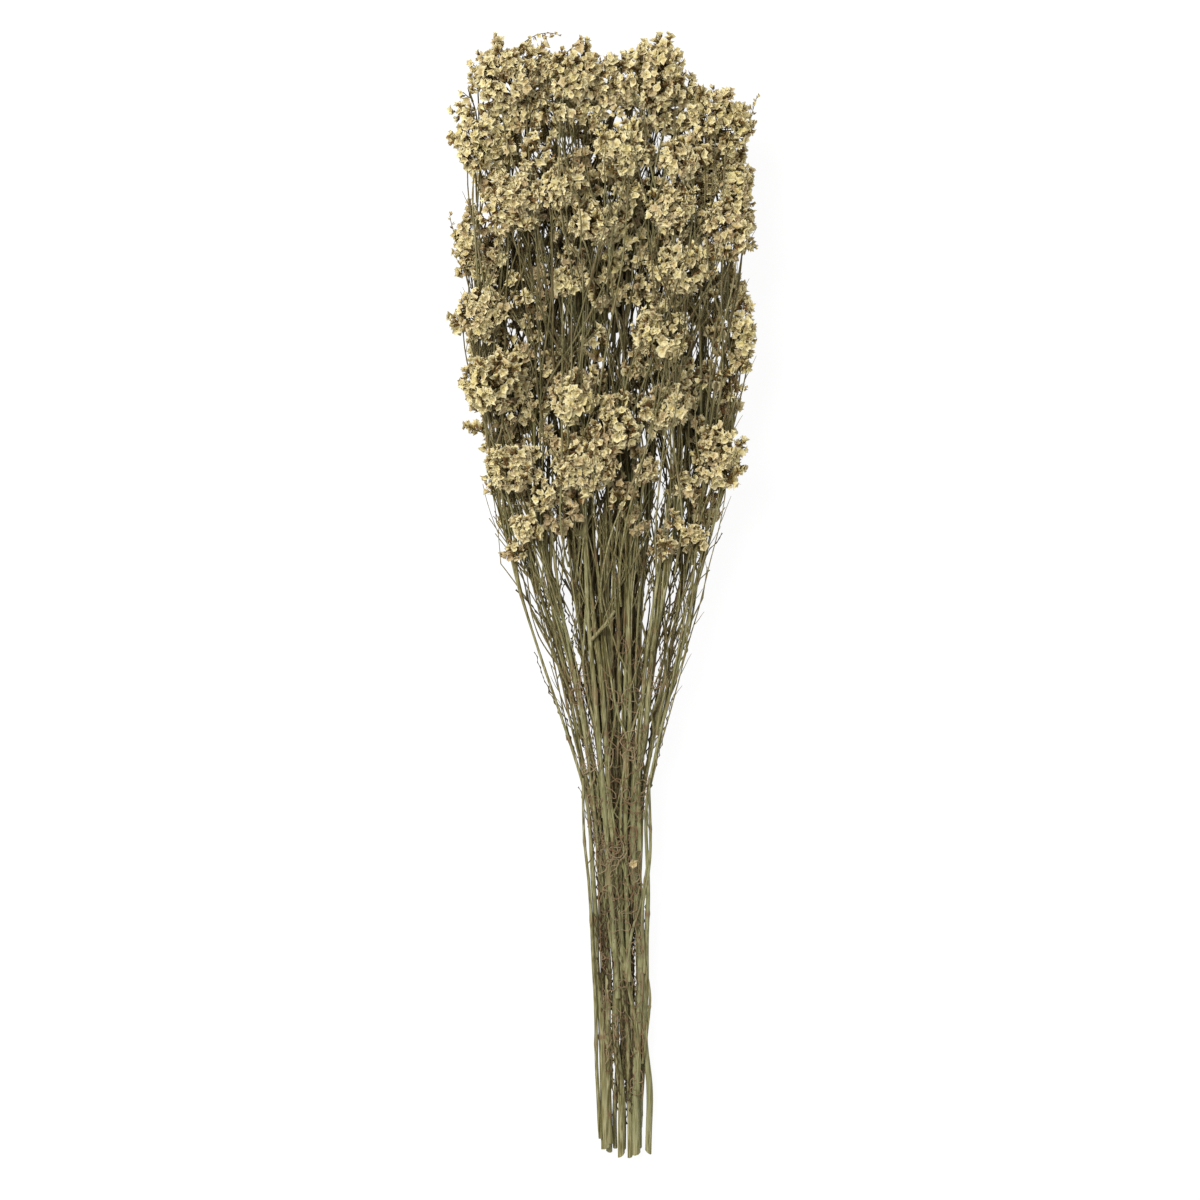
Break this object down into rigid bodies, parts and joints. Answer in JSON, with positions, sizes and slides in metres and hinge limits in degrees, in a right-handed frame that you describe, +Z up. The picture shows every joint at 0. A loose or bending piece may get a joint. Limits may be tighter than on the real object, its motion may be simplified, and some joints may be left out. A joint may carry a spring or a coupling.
{
  "type": "bunch of dried sea lavender stems",
  "caption": "Loose bunch of dried, forking stems with papery cream flower heads, lying on a surface with its cut ends together.",
  "frame": {"origin": "on the surface that the bunch lies on, under the middle of its bounding box", "axes": "+Y from the cut ends to the flowers, +Z up from the surface, +X to the right as seen from above with the flowers away from the viewer"},
  "size_m": [0.191, 0.6746, 0.0794],
  "materials": {
    "dried_stem": "dry, ridged, olive with brown nodes",
    "papery_flower": "dry, papery, cream with brown bracts"
  },
  "bodies": {
    "root": {"stem_01": "dried_stem", "stem_02": "dried_stem", "stem_03": "dried_stem", "stem_04": "dried_stem", "stem_05": "dried_stem", "stem_06": "dried_stem", "stem_07": "dried_stem", "stem_08": "dried_stem", "stem_09": "dried_stem", "stem_10": "dried_stem", "stem_11": "dried_stem", "head_01": "papery_flower", "head_02": "papery_flower", "head_03": "papery_flower", "head_04": "papery_flower", "head_05": "papery_flower", "head_06": "papery_flower", "head_07": "papery_flower", "head_08": "papery_flower", "head_09": "papery_flower", "head_10": "papery_flower", "head_11": "papery_flower", "head_12": "papery_flower", "head_13": "papery_flower", "head_14": "papery_flower", "head_15": "papery_flower", "head_16": "papery_flower", "head_17": "papery_flower", "head_18": "papery_flower", "head_19": "papery_flower", "head_20": "papery_flower", "head_21": "papery_flower", "head_22": "papery_flower", "head_23": "papery_flower", "head_24": "papery_flower", "head_25": "papery_flower", "head_26": "papery_flower", "head_27": "papery_flower", "head_28": "papery_flower", "head_29": "papery_flower", "head_30": "papery_flower", "head_31": "papery_flower", "head_32": "papery_flower", "head_33": "papery_flower", "head_34": "papery_flower", "head_35": "papery_flower", "head_36": "papery_flower", "head_37": "papery_flower", "head_38": "papery_flower", "head_39": "papery_flower", "head_40": "papery_flower", "head_41": "papery_flower", "head_42": "papery_flower", "head_43": "papery_flower", "head_44": "papery_flower"}
  },
  "joints": []
}
